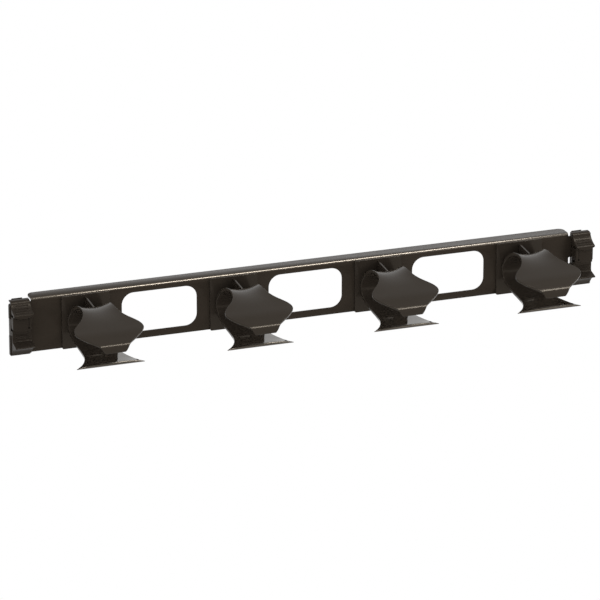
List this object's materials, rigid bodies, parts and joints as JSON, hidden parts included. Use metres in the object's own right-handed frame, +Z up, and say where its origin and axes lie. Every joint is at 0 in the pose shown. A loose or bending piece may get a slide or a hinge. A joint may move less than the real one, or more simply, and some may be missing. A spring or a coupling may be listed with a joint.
{
  "type": "horizontal cable manager",
  "caption": "Slim rack panel with open C-shaped cable hooks, rounded pass-through windows and sprung pinch latches at both ends.",
  "frame": {"origin": "middle of the plane where the latches meet the front of the rack rails", "axes": "+X along the panel to its right end as seen from the front, +Y to the rear of the rack, +Z up"},
  "size_m": [0.4826, 0.0889, 0.0444],
  "materials": {
    "powder_coated_steel": "satin black powder coat",
    "hook_plastic": "satin black moulded plastic",
    "latch_plastic": "satin black moulded plastic",
    "black_screw_steel": "black oxide",
    "spring_steel": "bright drawn wire"
  },
  "bodies": {
    "frame": {"panel": "powder_coated_steel", "cable_hook_1": "hook_plastic", "cable_hook_2": "hook_plastic", "cable_hook_3": "hook_plastic", "cable_hook_4": "hook_plastic", "hook_screws_1": "black_screw_steel", "hook_screws_2": "black_screw_steel", "hook_screws_3": "black_screw_steel", "hook_screws_4": "black_screw_steel", "left_latch_housing": "latch_plastic", "left_latch_backplate": "powder_coated_steel", "left_latch_screws": "black_screw_steel", "left_latch_upper_springs": "spring_steel", "left_latch_lower_springs": "spring_steel", "right_latch_housing": "latch_plastic", "right_latch_backplate": "powder_coated_steel", "right_latch_screws": "black_screw_steel", "right_latch_upper_springs": "spring_steel", "right_latch_lower_springs": "spring_steel"},
    "left_upper_slider": {"left_latch_upper_slider": "latch_plastic"},
    "left_lower_slider": {"left_latch_lower_slider": "latch_plastic"},
    "right_upper_slider": {"right_latch_upper_slider": "latch_plastic"},
    "right_lower_slider": {"right_latch_lower_slider": "latch_plastic"}
  },
  "joints": [
    {"name": "left_upper_slide", "type": "slide", "parent": "frame", "child": "left_upper_slider", "axis": [0, 0, -1], "range_m": [0, 0.0016], "stiffness_N_per_m": 1500, "springref_m": -0.0015, "deforming": ["left_latch_upper_springs"]},
    {"name": "left_lower_slide", "type": "slide", "parent": "frame", "child": "left_lower_slider", "axis": [0, 0, 1], "range_m": [0, 0.0016], "stiffness_N_per_m": 1500, "springref_m": -0.0015, "deforming": ["left_latch_lower_springs"]},
    {"name": "right_upper_slide", "type": "slide", "parent": "frame", "child": "right_upper_slider", "axis": [0, 0, -1], "range_m": [0, 0.0016], "stiffness_N_per_m": 1500, "springref_m": -0.0015, "deforming": ["right_latch_upper_springs"]},
    {"name": "right_lower_slide", "type": "slide", "parent": "frame", "child": "right_lower_slider", "axis": [0, 0, 1], "range_m": [0, 0.0016], "stiffness_N_per_m": 1500, "springref_m": -0.0015, "deforming": ["right_latch_lower_springs"]}
  ]
}
